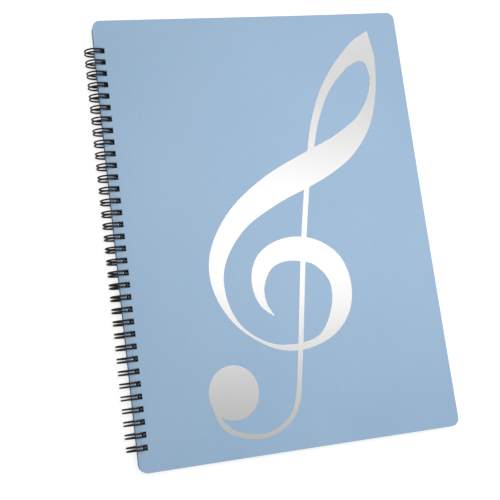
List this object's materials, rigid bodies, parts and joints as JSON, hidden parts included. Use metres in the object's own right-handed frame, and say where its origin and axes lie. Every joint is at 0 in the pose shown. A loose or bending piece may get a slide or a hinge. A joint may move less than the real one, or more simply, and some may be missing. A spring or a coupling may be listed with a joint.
{
  "type": "music folder",
  "caption": "Wire-bound display folder for sheet music, with a pale blue cover, a foil treble clef and clear sleeves inside.",
  "frame": {"origin": "under the middle of the folder, at the level its binding loops rest on", "axes": "+X across the folder away from the binding, +Y along the binding towards the top edge, +Z out of the front cover"},
  "size_m": [0.2412, 0.319, 0.0117],
  "materials": {
    "cover_plastic": "fine matte grain, satin",
    "clear_sleeve": "clear film, slightly milky in the stack",
    "black_wire": "glossy black coating",
    "silver_foil": "satin hot foil"
  },
  "bodies": {
    "binding": {"wire_binding": "black_wire", "sleeves": "clear_sleeve"},
    "front": {"front_cover": "cover_plastic", "treble_clef_foil": "silver_foil"},
    "back": {"back_cover": "cover_plastic"}
  },
  "joints": [
    {"name": "front_cover_hinge", "type": "hinge", "parent": "binding", "child": "front", "pos_m": [-0.11354, 0, 0.00595], "axis": [0, -1, 0], "range_deg": [0, 180]},
    {"name": "back_cover_hinge", "type": "hinge", "parent": "binding", "child": "back", "pos_m": [-0.11354, 0, 0.00595], "axis": [0, 1, 0], "range_deg": [0, 180]}
  ]
}
